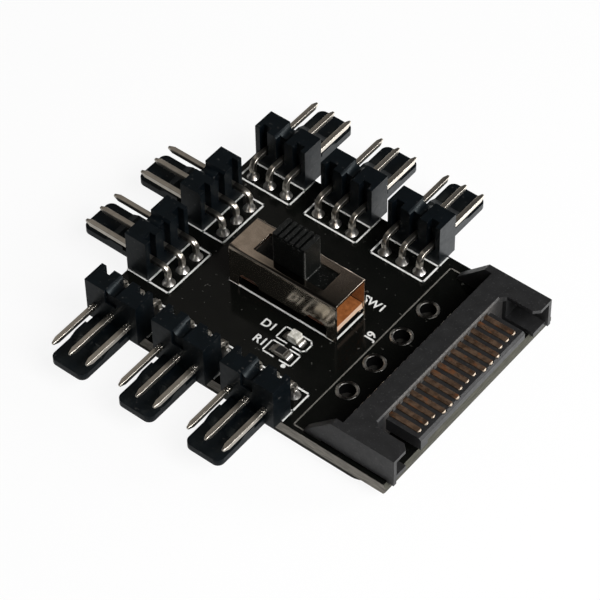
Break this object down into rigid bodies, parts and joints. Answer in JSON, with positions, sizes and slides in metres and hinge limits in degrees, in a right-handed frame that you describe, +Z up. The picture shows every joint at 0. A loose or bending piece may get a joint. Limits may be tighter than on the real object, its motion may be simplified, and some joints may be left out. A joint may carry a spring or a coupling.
{
  "type": "pc fan controller hub",
  "caption": "Bare circuit board that feeds PC fans: right-angle pin headers with locking tongues on three edges, a drive power inlet on the fourth and a slide switch for speed.",
  "frame": {"origin": "middle of the adhesive face under the foam pad, below the middle of the board", "axes": "+X out of the power inlet, +Z up out of the populated side of the board"},
  "size_m": [0.0522, 0.0502, 0.0138],
  "materials": {
    "board": "glossy black solder mask on glass-fibre board",
    "foam": "closed-cell foam with adhesive",
    "solder": "bright solder",
    "inlet_plastic": "fine texture",
    "contact": "gold over copper",
    "can": "nickel plated sheet",
    "phenolic": "orange phenolic laminate",
    "terminal": "tinned brass",
    "knob": "moulded black",
    "led_white": "white moulding",
    "cap": "tinned ends",
    "lens": "clear resin",
    "resistor": "black overglaze",
    "header_plastic": "semi-gloss nylon",
    "pin": "tinned brass"
  },
  "bodies": {
    "board": {"chip_solder": "solder", "circuit_board": "board", "fan_housing_1": "header_plastic", "fan_housing_2": "header_plastic", "fan_housing_3": "header_plastic", "fan_housing_4": "header_plastic", "fan_housing_5": "header_plastic", "fan_housing_6": "header_plastic", "fan_housing_7": "header_plastic", "fan_housing_8": "header_plastic", "fan_pins_1": "pin", "fan_pins_2": "pin", "fan_pins_3": "pin", "fan_pins_4": "pin", "fan_pins_5": "pin", "fan_pins_6": "pin", "fan_pins_7": "pin", "fan_pins_8": "pin", "fan_solder": "solder", "foam_pad": "foam", "inlet_blades": "contact", "inlet_housing": "inlet_plastic", "inlet_solder": "solder", "led_base": "led_white", "led_caps": "cap", "led_lens": "lens", "resistor_body": "resistor", "resistor_caps": "cap", "switch_base": "phenolic", "switch_can": "can", "switch_solder": "solder", "switch_terminals": "terminal"},
    "slider": {"switch_knob": "knob", "switch_wiper": "terminal"}
  },
  "joints": [
    {"name": "switch_slide", "type": "slide", "parent": "board", "child": "slider", "axis": [1, 0, 0], "range_m": [-0.0025, 0.0025]}
  ]
}
